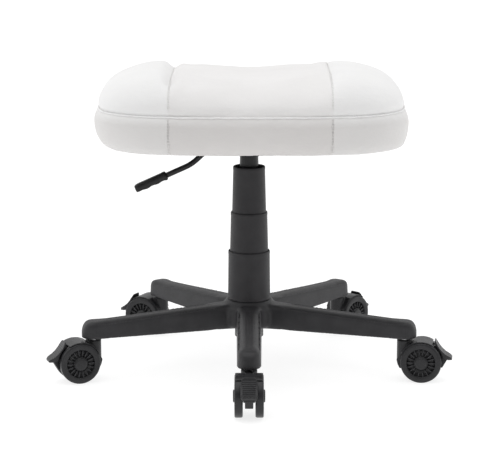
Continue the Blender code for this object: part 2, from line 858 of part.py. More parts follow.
def caster_wheel():
    """Wheel drawn about its axle, which lies along Z here; the outer face looks up."""
    bore = AXLE_RADIUS + 0.0004
    profile = [
        (0.0, HUB_CAP_OUTER),
        (HUB_CAP_RADIUS, HUB_CAP_OUTER),
        (HUB_CAP_RADIUS, WHEEL_OUTER),
        (WHEEL_RADIUS - 0.0025, WHEEL_OUTER),
        (WHEEL_RADIUS, WHEEL_OUTER - 0.0025),
        (WHEEL_RADIUS, WHEEL_INNER),
        (bore, WHEEL_INNER),
        (bore, HUB_CAP_OUTER - 0.0014),
        (0.0, HUB_CAP_OUTER - 0.0014),
    ]
    return turned(profile, WHEEL_ROUND)


def brake_pedal():
    """Foot pedal with a ribbed shield and a block between the wheels, about its pivot."""
    axle = (CASTER_TRAIL, WHEEL_RADIUS)
    shield_outline = [
        (CASTER_TRAIL + 0.0188, 0.0622),
        (CASTER_TRAIL + 0.0207, 0.0618),
        (CASTER_TRAIL + 0.0226, 0.0578),
        (CASTER_TRAIL + 0.0262, 0.0520),
        (CASTER_TRAIL + 0.0305, 0.0468),
        (CASTER_TRAIL + 0.0360, 0.0420),
        (CASTER_TRAIL + 0.0425, 0.0384),
        (CASTER_TRAIL + 0.0452, 0.0362),
        (CASTER_TRAIL + 0.0448, 0.0334),
        (CASTER_TRAIL + 0.0418, 0.0330),
    ]
    shield_outline += arc(axle, WHEEL_RADIUS + 0.0022, 10, 50, 4)
    shield = upright_slab(shield_outline, PEDAL_HALF)
    block_outline = [
        (CASTER_TRAIL + 0.0390, 0.0350),
        (CASTER_TRAIL + 0.0307, 0.0203),
        (CASTER_TRAIL + 0.0270, 0.0215),
        (CASTER_TRAIL + 0.0270, 0.0400),
        (CASTER_TRAIL + 0.0312, 0.0430),
    ]
    block = upright_slab(block_outline, 0.0058)
    lug_outline = arc((PEDAL_PIVOT[0], PEDAL_PIVOT[2]), 0.0048, 120, 300, 6)
    lug_outline += [(CASTER_TRAIL + 0.0310, 0.0370), (CASTER_TRAIL + 0.0240, 0.0530)]
    lug = upright_slab(lug_outline, 0.0044)
    hole = moved(disc(PEDAL_PIN_RADIUS + GAP, -0.020, 0.020, 12), PEDAL_PIVOT, lie_along="Y")
    mesh = combine(shield, ("UNION", block), ("UNION", lug), ("DIFFERENCE", hole))
    px, _, pz = PEDAL_PIVOT
    return moved(mesh, (-px, 0.0, -pz))


def build_casters(column):
    """Five casters. Each one's empty stands on its stem axis and looks along the trail."""
    hood = caster_hood()
    stem = caster_stem()
    axle = moved(disc(AXLE_RADIUS, -0.0206, 0.0206, 12), lie_along="Y")
    pin = moved(disc(PEDAL_PIN_RADIUS, -0.0078, 0.0078, 12), lie_along="Y")
    pedal = brake_pedal()
    left_wheel = moved(caster_wheel(), lie_along="Y")
    right_wheel = left_wheel.copy()
    right_wheel.transform(rotation("Z", 180))
    axle_at = (CASTER_TRAIL, 0.0, WHEEL_RADIUS)
    for name, angle in LEG_ANGLES.items():
        turn = math.radians(angle)
        at = (STEM_CIRCLE * math.cos(turn), STEM_CIRCLE * math.sin(turn), 0.0)
        place(f"{name}_caster_stem", stem.copy(), "bright_steel", column, at)
        swivel = empty(f"{name}_swivel", at, column, CASTER_HEADINGS[name])
        place(f"{name}_caster_hood", hood.copy(), "nylon", swivel)
        place(f"{name}_caster_axle", axle.copy(), "bright_steel", swivel, axle_at)
        place(f"{name}_brake_pin", pin.copy(), "bright_steel", swivel, PEDAL_PIVOT)
        place(f"{name}_wheel_left", left_wheel.copy(), "wheel_nylon", swivel, axle_at)
        place(f"{name}_wheel_right", right_wheel.copy(), "wheel_nylon", swivel, axle_at)
        place(f"{name}_brake_pedal", pedal.copy(), "nylon", swivel, PEDAL_PIVOT)


# ---------------------------------------------------------------- assembly
def build_base(column):
    place("base_star", star_base(), "nylon", column)
    place("column_tube", column_tube(), "black_steel", column)
    place("column_bushing", column_bushing(), "nylon", column)
    place("thrust_bearing", thrust_bearing(), "bright_steel", column)
    place("retaining_clip", retaining_clip(), "bright_steel", column)
    place("piston_rod", piston_rod(), "bright_steel", column)
    for name, sizes in SLEEVES.items():
        place(name, sleeve(*sizes), "nylon", column)


def build_seat(column):
    place("gas_cylinder", gas_cylinder(), "black_steel", column)
    place("release_button", release_button(), "bright_steel", column)
    place("taper_socket", taper_socket(), "black_steel", column)
    place("mounting_plate", mounting_plate(), "black_steel", column)
    place("underside_cover", underside_cover(), "fleece", column)
    place("seat_board", seat_board(), "plywood", column)
    place("seat_foam", seat_foam(), "foam", column, smooth_angle=60)
    place("seat_cover", seat_cover(), "leather", column, smooth_angle=60)
    bolt = plate_bolt()
    for number, (x, y) in enumerate(bolt_places(), start=1):
        at = (x, y, SEAT_BOTTOM - PLATE_THICKNESS)
        place(f"plate_bolt_{number}", bolt.copy(), "bright_steel", column, at)


def build_lever(column):
    pin = moved(disc(0.0021, -PAN_HALF_Y - 0.0010, PAN_HALF_Y + 0.0010, 12), lie_along="Y")
    place("lever_pin", pin, "bright_steel", column, LEVER_PIVOT)
    place("lever_rod", lever_rod(), "black_steel", column, LEVER_PIVOT)
    place("lever_grip", lever_grip(), "nylon", column, LEVER_PIVOT)


clear_scene()
PARTS = make_collection("pedicure_stool")
CUTTERS = make_collection("cutters")
COLUMN = empty("column_axis", (0.0, COLUMN_Y, 0.0))
build_base(COLUMN)
build_seat(COLUMN)
build_lever(COLUMN)
build_casters(COLUMN)
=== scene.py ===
import math

import bmesh
import bpy
import numpy as np
from mathutils import Matrix, Vector, noise


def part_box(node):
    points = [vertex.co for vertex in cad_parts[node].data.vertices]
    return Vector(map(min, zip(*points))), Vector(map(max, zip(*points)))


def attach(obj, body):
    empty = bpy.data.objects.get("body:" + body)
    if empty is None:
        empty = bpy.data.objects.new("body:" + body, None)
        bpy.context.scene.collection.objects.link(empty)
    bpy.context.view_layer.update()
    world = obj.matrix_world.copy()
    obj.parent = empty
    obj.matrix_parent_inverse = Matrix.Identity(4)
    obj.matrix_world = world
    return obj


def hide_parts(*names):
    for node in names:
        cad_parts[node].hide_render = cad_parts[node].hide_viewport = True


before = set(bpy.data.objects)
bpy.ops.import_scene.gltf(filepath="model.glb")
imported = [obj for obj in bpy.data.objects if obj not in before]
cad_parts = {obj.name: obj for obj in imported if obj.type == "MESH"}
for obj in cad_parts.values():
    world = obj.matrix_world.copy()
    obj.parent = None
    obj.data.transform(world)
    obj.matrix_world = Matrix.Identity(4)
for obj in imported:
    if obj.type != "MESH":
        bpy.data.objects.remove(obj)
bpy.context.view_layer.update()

# Lengths are in metres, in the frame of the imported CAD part.
COLUMN = Vector((0.0, 0.0285, 0.0))
CASTERS = ("front", "right_front", "right_rear", "left_rear", "left_front")
LEG_ANGLES = (270, 342, 54, 126, 198)   # directions of the legs, in degrees

# Seat. Its outline, bottom and seam are at the CAD part's places; the crown is the visual one.
SEAT_CENTRE = Vector((0.0030, COLUMN.y, 0.0))
SEAT_HALF_X = 0.2285
SEAT_HALF_Y = 0.1745
SEAT_CORNER = 3.6               # exponent of the superellipse outline
SEAT_BOTTOM = 0.3465
SEAM_HEIGHT = 0.4040
TOP_EDGE = 0.4085               # where the top panel turns down into the seam
TOP_INSET = 0.0055
CROWN = 0.0275                  # rise of the middle above the top edge, before the foam swells
SADDLE_RISE = 0.0078            # rise of the middle panel towards its seams
SADDLE_X = 0.0950
LOBE_RISE = 0.0147              # further rise of the side lobes
LOBE_START, LOBE_X = 0.0840, 0.1260
PANEL_SEAMS = (                 # share of the half length, depth at the crest, depth on the slopes
    (-0.52, 0.0120, 0.0003),
    (0.51, 0.0026, 0.0003),
)
STAPLE_INSET = 0.0290           # from the seat's outline to the staples of the hem
CLOTH_INSET = 0.0362            # from the seat's outline to the edge of the dust cloth
CLOTH_THICKNESS = 0.0004

# Casters, drawn about the stem's axis with the trail along +X
TRAIL = 0.0250
WHEEL_RADIUS = 0.0300


# ---------------------------------------------------------------- materials
MIX_FIRST, MIX_SECOND, MIX_RESULT = 6, 7, 2     # the Mix node's colour sockets
ROUGHNESS_SPREAD = 0.12
RUBBED_BRIGHTNESS = 2.2         # of a rubbed edge, against the light tone
# Painted shade: the side band's leather colour is made darker and warmer than the top's.
PAINTED_BAND_SHADE = (0.832, 0.820, 0.812)


class Shader:
    """A node material with one Principled shader, and short ways to add to it."""

    def __init__(self, name, **values):
        self.material = bpy.data.materials.new(name)
        self.material.use_nodes = True
        self.tree = self.material.node_tree
        self.shader = self.tree.nodes["Principled BSDF"]
        self.set(self.shader, values)
        self.where = self.tree.nodes.new("ShaderNodeTexCoord").outputs["Object"]

    def set(self, node, values):
        for key, value in values.items():
            socket = node.inputs[key.replace("_", " ")]
            socket.default_value = value

    def add(self, kind, links=None, settings=None, **values):
        node = self.tree.nodes.new("ShaderNode" + kind)
        for key, value in (settings or {}).items():
            setattr(node, key, value)
        self.set(node, values)
        for key, output in (links or {}).items():
            self.tree.links.new(output, node.inputs[key])
        return node

    def stretched(self, scale):
        """Object coordinates, squeezed or stretched along each axis."""
        mapping = self.add("Mapping", {"Vector": self.where})
        mapping.inputs["Scale"].default_value = scale
        return mapping.outputs["Vector"]

    def noise(self, scale, detail=4.0, vector=None):
        node = self.add("TexNoise", {"Vector": vector or self.where}, Scale=scale, Detail=detail)
        return node.outputs["Fac"]

    def range(self, value, low, high, new_low, new_high):
        node = self.add("MapRange", {"Value": value}, From_Min=low, From_Max=high)
        node.inputs["To Min"].default_value = new_low
        node.inputs["To Max"].default_value = new_high
        return node.outputs["Result"]

    def mix(self, factor, first, second):
        """Colours or outputs, blended by factor."""
        node = self.add("Mix", {"Factor": factor}, {"data_type": "RGBA"})
        for number, value in ((MIX_FIRST, first), (MIX_SECOND, second)):
            socket = node.inputs[number]
            if isinstance(value, tuple):
                socket.default_value = (*value, 1.0)
            else:
                self.tree.links.new(value, socket)
        return node.outputs[MIX_RESULT]

    def multiplied(self, first, second):
        """One colour output times another."""
        node = self.add("Mix", {}, {"data_type": "RGBA", "blend_type": "MULTIPLY"}, Factor=1.0)
        self.tree.links.new(first, node.inputs[MIX_FIRST])
        self.tree.links.new(second, node.inputs[MIX_SECOND])
        return node.outputs[MIX_RESULT]

    def math(self, operation, first, second):
        node = self.add("Math", {0: first}, {"operation": operation})
        if isinstance(second, float):
            node.inputs[1].default_value = second
        else:
            self.tree.links.new(second, node.inputs[1])
        return node.outputs[0]

    def color(self, output):
        self.tree.links.new(output, self.shader.inputs["Base Color"])

    def roughness(self, output):
        self.tree.links.new(output, self.shader.inputs["Roughness"])

    def bump(self, *layers):
        """Each layer is (height output, depth in metres)."""
        normal = None
        for height, depth in layers:
            node = self.add("Bump", {"Height": height}, Strength=1.0, Distance=depth)
            if normal is not None:
                self.tree.links.new(normal, node.inputs["Normal"])
            normal = node.outputs["Normal"]
        self.tree.links.new(normal, self.shader.inputs["Normal"])


def worn(name, dark, light, roughness, grain):
    """Plastic or paint: fine surface grain, slow blotches and rubbed edges.
    grain is (cells per metre, depth in metres)."""
    s = Shader(name, Metallic=0.0, Specular_IOR_Level=0.30)
    blotch = s.range(s.noise(38.0, 5.0), 0.35, 0.65, 0.0, 1.0)
    color = s.mix(blotch, dark, light)
    point = s.add("NewGeometry").outputs["Pointiness"]
    rub = s.range(point, 0.52, 0.62, 0.0, 0.55)
    rubbed = tuple(min(1.0, RUBBED_BRIGHTNESS * v) for v in light)
    s.color(s.mix(rub, color, rubbed))
    scuff = s.noise(420.0, 3.0)
    half = ROUGHNESS_SPREAD / 2
    s.roughness(s.range(scuff, 0.3, 0.7, roughness - half, roughness + half))
    cells = s.add("TexVoronoi", {"Vector": s.where}, Scale=grain[0]).outputs["Distance"]
    s.bump((cells, grain[1]), (s.noise(60.0, 2.0), 0.00012))
    return s.material


def leather_material():
    """White synthetic leather: pebble grain, pores, soft creases, grey in the seams that is part dirt and
    part painted shade, and painted shade on the side band.
    """
    s = Shader("white_leather", Specular_IOR_Level=0.25)
    seam = s.add("Attribute", settings={"attribute_name": "seam"}).outputs["Fac"]
    middle = s.add("Attribute", settings={"attribute_name": "middle"}).outputs["Fac"]
    blotch = s.range(s.noise(11.0, 5.0), 0.35, 0.65, 0.0, 1.0)
    white = s.mix(blotch, (0.848, 0.845, 0.843), (0.872, 0.869, 0.867))
    warm = s.mix(blotch, (0.812, 0.801, 0.796), (0.834, 0.823, 0.818))
    # Painted shade on the side band: below the seam the colour is multiplied down to a darker, warmer
    # tone.
    side = s.add("Attribute", settings={"attribute_name": "side"}).outputs["Fac"]
    shaded = s.mix(side, (1.0, 1.0, 1.0), PAINTED_BAND_SHADE)
    panel = s.multiplied(s.mix(middle, white, warm), shaded)
    # Grey in the seams: part dirt, part painted shade in the grooves.
    patches = s.range(s.noise(55.0, 3.0), 0.3, 0.7, 0.5, 1.0)
    seam_dirt_and_shade = s.range(s.math("MULTIPLY", seam, patches), 0.0, 1.0, 0.0, 0.55)
    s.color(s.mix(seam_dirt_and_shade, panel, (0.42, 0.405, 0.39)))
    s.roughness(s.range(s.noise(160.0, 4.0), 0.3, 0.7, 0.40, 0.54))
    cells = s.add("TexVoronoi", {"Vector": s.where}, {"feature": "SMOOTH_F1"}, Scale=950.0)
    pebble = cells.outputs["Distance"]
    crease = s.noise(85.0, 3.0, s.stretched((1.0, 1.0, 2.2)))
    s.bump((crease, 0.0005), (s.noise(420.0, 2.0), 0.00016), (pebble, 0.00012))
    return s.material


def thread_material():
    s = Shader("polyester_thread", Roughness=0.6, Sheen_Weight=0.3)
    twist = s.add("TexWave", {"Vector": s.where}, {"bands_direction": "DIAGONAL"}, Scale=700.0)
    s.color(s.mix(twist.outputs["Fac"], (0.70, 0.69, 0.67), (0.86, 0.85, 0.84)))
    s.bump((twist.outputs["Fac"], 0.0001))
    return s.material


def steel_material():
    """Zinc-bright steel with fine turned lines and a little dulling."""
    s = Shader("bright_steel", Metallic=1.0)
    lines = s.noise(500.0, 3.0, s.stretched((1.0, 1.0, 9.0)))
    s.color(s.mix(s.noise(70.0), (0.52, 0.52, 0.53), (0.68, 0.68, 0.69)))
    s.roughness(s.range(lines, 0.3, 0.7, 0.22, 0.42))
    s.bump((lines, 0.00003))
    return s.material


def plywood_material():
    """Birch plywood: veneer grain on the faces, plies on the edge."""
    s = Shader("plywood", Roughness=0.7)
    grain = s.noise(60.0, 6.0, s.stretched((1.0, 12.0, 1.0)))
    face = s.mix(grain, (0.50, 0.34, 0.19), (0.70, 0.52, 0.33))
    plies = s.add("TexWave", {"Vector": s.where}, {"bands_direction": "Z"}, Scale=130.0).outputs["Fac"]
    s.color(s.mix(s.range(plies, 0.2, 0.8, 0.0, 0.35), face, (0.30, 0.18, 0.09)))
    s.bump((grain, 0.0002))
    return s.material


def fleece_material():
    """Black non-woven dust cloth with pressed dimples."""
    s = Shader("dust_cloth", Roughness=0.95, Sheen_Weight=0.25)
    fibre = s.noise(900.0, 5.0, s.stretched((1.0, 0.35, 1.0)))
    dimple = s.add("TexVoronoi", {"Vector": s.where}, Scale=420.0).outputs["Distance"]
    s.color(s.mix(fibre, (0.018, 0.018, 0.019), (0.060, 0.060, 0.062)))
    s.bump((fibre, 0.0002), (dimple, 0.0003))
    return s.material


def floor_material():
    """Pale back-lit sheet, which keeps the shadows faint."""
    s = Shader("studio_floor", Roughness=0.9, Specular_IOR_Level=0.1, Emission_Strength=0.80)
    s.shader.inputs["Emission Color"].default_value = (1.0, 1.0, 1.0, 1.0)
    s.color(s.mix(s.noise(2.0, 2.0), (0.315, 0.315, 0.315), (0.325, 0.325, 0.325)))
    return s.material


# finish: material name, dark tone, light tone, roughness, grain
WORN_FINISHES = {
    "nylon": (
        "black_nylon", (0.0270, 0.0266, 0.0286), (0.0360, 0.0355, 0.0380), 0.46, (2600.0, 0.00005),
    ),
    "cover_plastic": (
        "cover_plastic", (0.0260, 0.0250, 0.0270), (0.0330, 0.0318, 0.0342), 0.50, (2200.0, 0.00006),
    ),
    "wheel_nylon": (
        "wheel_nylon", (0.0185, 0.0185, 0.0200), (0.0260, 0.0260, 0.0280), 0.32, (3200.0, 0.00003),
    ),
    "grip_plastic": (
        "grip_plastic", (0.0110, 0.0110, 0.0115), (0.0160, 0.0160, 0.0165), 0.38, (1800.0, 0.00008),
    ),
    "black_steel": (
        "black_steel", (0.0110, 0.0110, 0.0115), (0.0155, 0.0155, 0.0160), 0.34, (1500.0, 0.00006),
    ),
}
FINISH = {
    "leather": leather_material(),
    "thread": thread_material(),
    "bright_steel": steel_material(),
    "plywood": plywood_material(),
    "fleece": fleece_material(),
}
for finish_name, look in WORN_FINISHES.items():
    FINISH[finish_name] = worn(*look)


# ---------------------------------------------------------------- modelling helpers
def mesh_object(name, mesh, finish, matrix=None):
    """A smooth-shaded object in one finish, put into the scene."""
    mesh.materials.clear()
    mesh.materials.append(FINISH[finish])
    mesh.shade_smooth()
    obj = bpy.data.objects.new(name, mesh)
    bpy.context.scene.collection.objects.link(obj)
    if matrix is not None:
        obj.matrix_world = matrix
    return obj


def piece(name, mesh, finish, body, nodes=(), matrix=None):
    """A finished piece: it rides on a body and stands for the named CAD nodes."""
    obj = mesh_object(name, mesh, finish, matrix)
    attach(obj, body)
    if nodes:
        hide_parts(*nodes)
    return obj


def mesh_from(bm, name):
    """The mesh of a bmesh, with its faces turned out; the bmesh is freed."""
    bmesh.ops.recalc_face_normals(bm, faces=bm.faces)
    mesh = bpy.data.meshes.new(name)
    bm.to_mesh(mesh)
    bm.free()
    return mesh


def evaluated(mesh, *modifiers):
    """The mesh after modifiers, each given as (kind, {setting: value})."""
    obj = bpy.data.objects.new("work", mesh)
    bpy.context.scene.collection.objects.link(obj)
    for kind, settings in modifiers:
        modifier = obj.modifiers.new(kind, kind)
        for key, value in settings.items():
            setattr(modifier, key, value)
    bpy.context.view_layer.update()
    result = bpy.data.meshes.new_from_object(obj.evaluated_get(bpy.context.evaluated_depsgraph_get()))
    bpy.data.objects.remove(obj, do_unlink=True)
    return result


def cad_mesh(node):
    """A welded copy of a CAD node's mesh."""
    bm = bmesh.new()
    bm.from_mesh(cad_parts[node].data)
    bmesh.ops.remove_doubles(bm, verts=bm.verts, dist=0.00001)
    return mesh_from(bm, node)


def moulded(mesh, voxel, rounds):
    """The same body with the soft edges and fillets of a moulding."""
    return evaluated(
        mesh,
        ("REMESH", {"mode": "VOXEL", "voxel_size": voxel}),
        ("SMOOTH", {"factor": 0.5, "iterations": rounds}),
    )


def softened(mesh, weights, rounds):
    """Smoothed only as far as each vertex's weight allows."""
    obj = bpy.data.objects.new("softening", mesh)
    bpy.context.scene.collection.objects.link(obj)
    group = obj.vertex_groups.new(name="soft")
    for index in np.nonzero(weights > 0)[0]:
        group.add([int(index)], float(weights[index]), "REPLACE")
    smooth = obj.modifiers.new("Smooth", "SMOOTH")
    smooth.iterations = rounds
    smooth.vertex_group = "soft"
    graph = bpy.context.evaluated_depsgraph_get()
    result = bpy.data.meshes.new_from_object(obj.evaluated_get(graph))
    bpy.data.objects.remove(obj, do_unlink=True)
    return result


def coordinates(mesh):
    points = np.empty(len(mesh.vertices) * 3)
    mesh.vertices.foreach_get("co", points)
    return points.reshape(-1, 3)


def set_coordinates(mesh, points):
    mesh.vertices.foreach_set("co", points.ravel())
    mesh.update()


def normals(mesh):
    values = np.empty(len(mesh.vertices) * 3)
    mesh.vertices.foreach_get("normal", values)
    return values.reshape(-1, 3)


def turned(profile, segments=96):
    """A solid of revolution about Z. The profile is a closed loop of (radius, height),
    or starts and ends on the axis."""
    bm = bmesh.new()
    rings = []
    for radius, height in profile:
        if radius == 0.0:
            rings.append([bm.verts.new((0.0, 0.0, height))] * segments)
            continue
        ring = []
        for i in range(segments):
            angle = 2 * math.pi * i / segments
            ring.append(bm.verts.new((radius * math.cos(angle), radius * math.sin(angle), height)))
        rings.append(ring)
    pairs = list(zip(rings, rings[1:]))
    if profile[0][0] != 0.0:
        pairs.append((rings[-1], rings[0]))
    for low, high in pairs:
        for i in range(segments):
            j = (i + 1) % segments
            corners = list(dict.fromkeys((low[i], low[j], high[j], high[i])))
            bm.faces.new(corners)
    return mesh_from(bm, "turned")


def loft(sections):
    """A closed body through rings of points."""
    bm = bmesh.new()
    rings = [[bm.verts.new(point) for point in section] for section in sections]
    count = len(rings[0])
    for near, far in zip(rings, rings[1:]):
        for i in range(count):
            j = (i + 1) % count
            bm.faces.new((near[i], near[j], far[j], far[i]))
    bm.faces.new(list(reversed(rings[0])))
    bm.faces.new(rings[-1])
    return mesh_from(bm, "loft")


def tube_along(points, radius, sides=12, closed=False):
    """A round bar through the points."""
    rings = []
    count = len(points)
    for i, point in enumerate(points):
        before = points[(i - 1) % count] if closed or i > 0 else point
        after = points[(i + 1) % count] if closed or i < count - 1 else point
        along = (after - before).normalized()
        side = along.cross(Vector((0.0, 0.0, 1.0)))
        side = side.normalized() if side.length > 0.05 else along.orthogonal().normalized()
        up = side.cross(along)
        ring = []
        for k in range(sides):
            angle = 2 * math.pi * k / sides
            ring.append(point + side * (radius * math.cos(angle)) + up * (radius * math.sin(angle)))
        rings.append(ring)
    if not closed:
        return loft(rings)
    bm = bmesh.new()
    loops = [[bm.verts.new(point) for point in ring] for ring in rings]
    for near, far in zip(loops, loops[1:] + loops[:1]):
        for k in range(sides):
            m = (k + 1) % sides
            bm.faces.new((near[k], near[m], far[m], far[k]))
    return mesh_from(bm, "tube")


def joined(meshes):
    bm = bmesh.new()
    for mesh in meshes:
        bm.from_mesh(mesh)
    return mesh_from(bm, "joined")


def smooth_step(value):
    value = min(max(value, 0.0), 1.0)
    return value * value * (3 - 2 * value)


def middle_of(node):
    low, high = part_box(node)
    return (Vector(low) + Vector(high)) / 2


# ---------------------------------------------------------------- seat
ROWS = 72                       # cells from front to back of the top panel
SEAM_HALF = 0.0064              # half width of the cells beside a panel seam, as a share
BAND = (                        # (inset, height above the seat's bottom) down the side band
    (0.0066, 0.0597),
    (0.0074, SEAM_HEIGHT - SEAT_BOTTOM),
    (0.0056, 0.0556),
    (0.0030, 0.0525),
    (0.0010, 0.0485),
    (0.0000, 0.0425),
    (0.0004, 0.0365),
    (0.0014, 0.0295),
    (0.0032, 0.0205),
    (0.0056, 0.0140),
    (0.0086, 0.0085),
    (0.0125, 0.0040),
    (0.0170, 0.0013),
    (0.0240, 0.0),
    (0.0350, 0.0),
    (0.0352, 0.0012),
)
SEAM_RING = 1                   # which ring of the band is the seam
HEM_RINGS = 4                   # rings at the bottom that are stapled down
FULL_RINGS = range(6, 13)       # rings below the belly, which are fuller at the right end


def spread(u):
    """Grid position from -1 to 1, with finer cells towards the edge."""
    return math.copysign(1 - (1 - abs(u)) ** 1.35, u)


def column_places():
    """Grid columns across the seat, with three close together at each panel seam."""
    seams = [share for share, _, _ in PANEL_SEAMS]
    even = [spread(2 * i / 92 - 1) for i in range(93)]
    places = [s for s in even if min(abs(s - seam) for seam in seams) > 2.6 * SEAM_HALF]
    for seam in seams:
        places += [seam + SEAM_HALF * step for step in (-1.6, -0.6, 0, 0.6, 1.6)]
    return sorted(places)


COLUMN_PLACES = column_places()
COLUMNS = len(COLUMN_PLACES) - 1
SEAM_COLUMNS = {COLUMN_PLACES.index(seam): (crest, slope) for seam, crest, slope in PANEL_SEAMS}


def top_point(s, t):
    """Place of a grid point in the seat's outline; the inner columns run straight."""
    n = SEAT_CORNER
    turn = smooth_step((abs(s) - 0.54) / 0.46)
    edge = abs(s) * (1 - turn / 2) ** (1 / n)
    x = (SEAT_HALF_X - TOP_INSET) * s * (1 - turn * abs(t) ** n / 2) ** (1 / n)
    y = (SEAT_HALF_Y - TOP_INSET) * t * (1 - edge ** n) ** (1 / n)
    return x, y


def crown(x, y):
    """Height of the top panel: a saddle with a higher lobe at each end."""
    n = SEAT_CORNER
    share = (abs(x / (SEAT_HALF_X - TOP_INSET)) ** n + abs(y / (SEAT_HALF_Y - TOP_INSET)) ** n) ** (1 / n)
    share = min(share, 1.0)
    saddle = SADDLE_RISE * smooth_step(abs(x) / SADDLE_X)
    lobe = LOBE_RISE * smooth_step((abs(x) - LOBE_START) / (LOBE_X - LOBE_START))
    return (CROWN + saddle + lobe) * (1 - share ** 5.0) ** (1 / 1.8)


def drawn_in(x, height):
    """How far the panel seams pull the top panel down at a place, for its height."""
    total = 0.0
    for share, crest, slope in PANEL_SEAMS:
        away = abs(x - (SEAT_HALF_X - TOP_INSET) * share)
        high = min(1.0, height / (CROWN + SADDLE_RISE + LOBE_RISE / 2)) ** 4
        total += crest * high * math.exp(-(away / 0.0085) ** 2)
        total += slope * min(1.0, height / 0.006) * math.exp(-(away / 0.0017) ** 2)
    return total


def perimeter():
    """Grid places around the edge of the top panel, in order."""
    front = [(i, 0) for i in range(COLUMNS)]
    right = [(COLUMNS, j) for j in range(ROWS)]
    back = [(i, ROWS) for i in range(COLUMNS, 0, -1)]
    left = [(0, j) for j in range(ROWS, 0, -1)]
    return front + right + back + left


def seat_skin():
    """The sewn cover as a structured sheet, with its seam vertices listed by name."""
    bm = bmesh.new()
    grid = {}
    for i, s in enumerate(COLUMN_PLACES):
        for j in range(ROWS + 1):
            x, y = top_point(s, spread(2 * j / ROWS - 1))
            height = crown(x, y)
            grid[i, j] = bm.verts.new((x, y, TOP_EDGE + height - drawn_in(x, height)))
    for i in range(COLUMNS):
        for j in range(ROWS):
            bm.faces.new((grid[i, j], grid[i + 1, j], grid[i + 1, j + 1], grid[i, j + 1]))
    rim = perimeter()
    rings = [[grid[place] for place in rim]]
    for number, (inset, height) in enumerate(BAND):
        scale_y = (SEAT_HALF_Y - inset) / (SEAT_HALF_Y - TOP_INSET)
        ring = []
        for vert in rings[0]:
            fuller = 1.0
            if number in FULL_RINGS:
                fuller -= 0.6 * smooth_step((vert.co.x - 0.10) / 0.10)
            outer = smooth_step((abs(vert.co.x) - 0.105) / 0.085)
            scale_x = 1 + outer * ((SEAT_HALF_X - inset * fuller) / (SEAT_HALF_X - TOP_INSET) - 1)
            ring.append(bm.verts.new((vert.co.x * scale_x, vert.co.y * scale_y, SEAT_BOTTOM + height)))
        rings.append(ring)
    count = len(rim)
    for high, low in zip(rings, rings[1:]):
        for i in range(count):
            j = (i + 1) % count
            bm.faces.new((high[j], high[i], low[i], low[j]))
    bm.verts.index_update()
    places = {
        "grid": {key: vert.index for key, vert in grid.items()},
        "rings": [[vert.index for vert in ring] for ring in rings],
        "rim": rim,
    }
    mesh = bpy.data.meshes.new("skin")
    bm.to_mesh(mesh)
    bm.free()
    return mesh, places


def pinned(places):
    """Weight of each held vertex: seams and the stapled hem stay, the rest may swell."""
    weights = {}
    for column in SEAM_COLUMNS:
        for j in range(ROWS + 1):
            weights[places["grid"][column, j]] = 1.0
    for index in places["rings"][1 + SEAM_RING]:
        weights[index] = 1.0
    for ring in places["rings"][-HEM_RINGS:]:
        for index in ring:
            weights[index] = 1.0
    rim = places["rim"]
    for ring in places["rings"][1 + SEAM_RING:]:
        for k, (i, j) in enumerate(rim):
            if i in SEAM_COLUMNS and j in (0, ROWS):
                weights[ring[k]] = 1.0
    return weights


def even_out(shift, places, rounds):
    """Take the wrinkles out of the top panel's movement, as the stretched leather does."""
    index = np.array([[places["grid"][i, j] for j in range(ROWS + 1)] for i in range(COLUMNS + 1)])
    held = list(SEAM_COLUMNS)
    field = shift[index]
    for _ in range(rounds):
        around = field[:-2, 1:-1] + field[2:, 1:-1] + field[1:-1, :-2] + field[1:-1, 2:]
        field[1:-1, 1:-1] += 0.6 * (around / 4 - field[1:-1, 1:-1])
        field[held] = 0.0
    shift[index] = field


def swell(mesh, places, pressure, frames, cap):
    """The foam presses the cover out between its seams: a cloth simulation, then applied."""
    start = coordinates(mesh)
    obj = bpy.data.objects.new("swelling", mesh)
    bpy.context.scene.collection.objects.link(obj)
    group = obj.vertex_groups.new(name="held")
    for index, weight in pinned(places).items():
        group.add([index], weight, "REPLACE")
    cloth = obj.modifiers.new("Cloth", "CLOTH")
    settings = cloth.settings
    settings.quality = 6
    settings.use_pressure = True
    settings.uniform_pressure_force = pressure
    settings.effector_weights.gravity = 0.0
    settings.vertex_group_mass = "held"
    settings.shrink_min = -0.004
    settings.bending_stiffness = 0.6
    cloth.point_cache.frame_start = 1
    cloth.point_cache.frame_end = frames
    for number in range(1, frames + 1):
        bpy.context.scene.frame_set(number)
    graph = bpy.context.evaluated_depsgraph_get()
    swollen = bpy.data.meshes.new_from_object(obj.evaluated_get(graph))
    points = coordinates(swollen)
    bpy.data.objects.remove(obj, do_unlink=True)
    bpy.context.scene.frame_set(1)
    shift = points - start
    even_out(shift, places, rounds=14)
    length = np.linalg.norm(shift, axis=1, keepdims=True)
    shift *= np.minimum(1.0, cap / np.maximum(length, 1e-9))
    set_coordinates(mesh, start + shift)


def pucker(mesh, places):
    """Small gathers beside the seams, strongest at the corners and where panel seams end."""
    points = coordinates(mesh)
    facing = normals(mesh)
    for number, ring in enumerate(places["rings"]):
        below = number - (1 + SEAM_RING)
        hem = len(places["rings"]) - 1 - number
        strength = 0.0006 * math.exp(-((below - 1.5) / 1.8) ** 2)
        strength += 0.0004 * math.exp(-((hem - 3) / 1.6) ** 2)
        for index in ring:
            x, y, _ = points[index]
            corner = smooth_step((abs(x) - 0.130) / 0.060)
            junction = math.exp(-((abs(x) - 0.1125) / 0.014) ** 2)
            along = Vector((x * 70.0, y * 70.0, 0.35 * number))
            wave = noise.noise(along) + 0.6 * noise.noise(along * 2.3)
            points[index] += facing[index] * (strength * wave * (0.35 + corner + 1.2 * junction))
    slow = np.array([noise.noise(Vector(p) * 22.0) for p in points])
    fine = np.array([noise.noise(Vector(p) * 60.0) for p in points])
    points += facing * (0.0007 * slow + 0.00025 * fine)[:, None]
    set_coordinates(mesh, points)


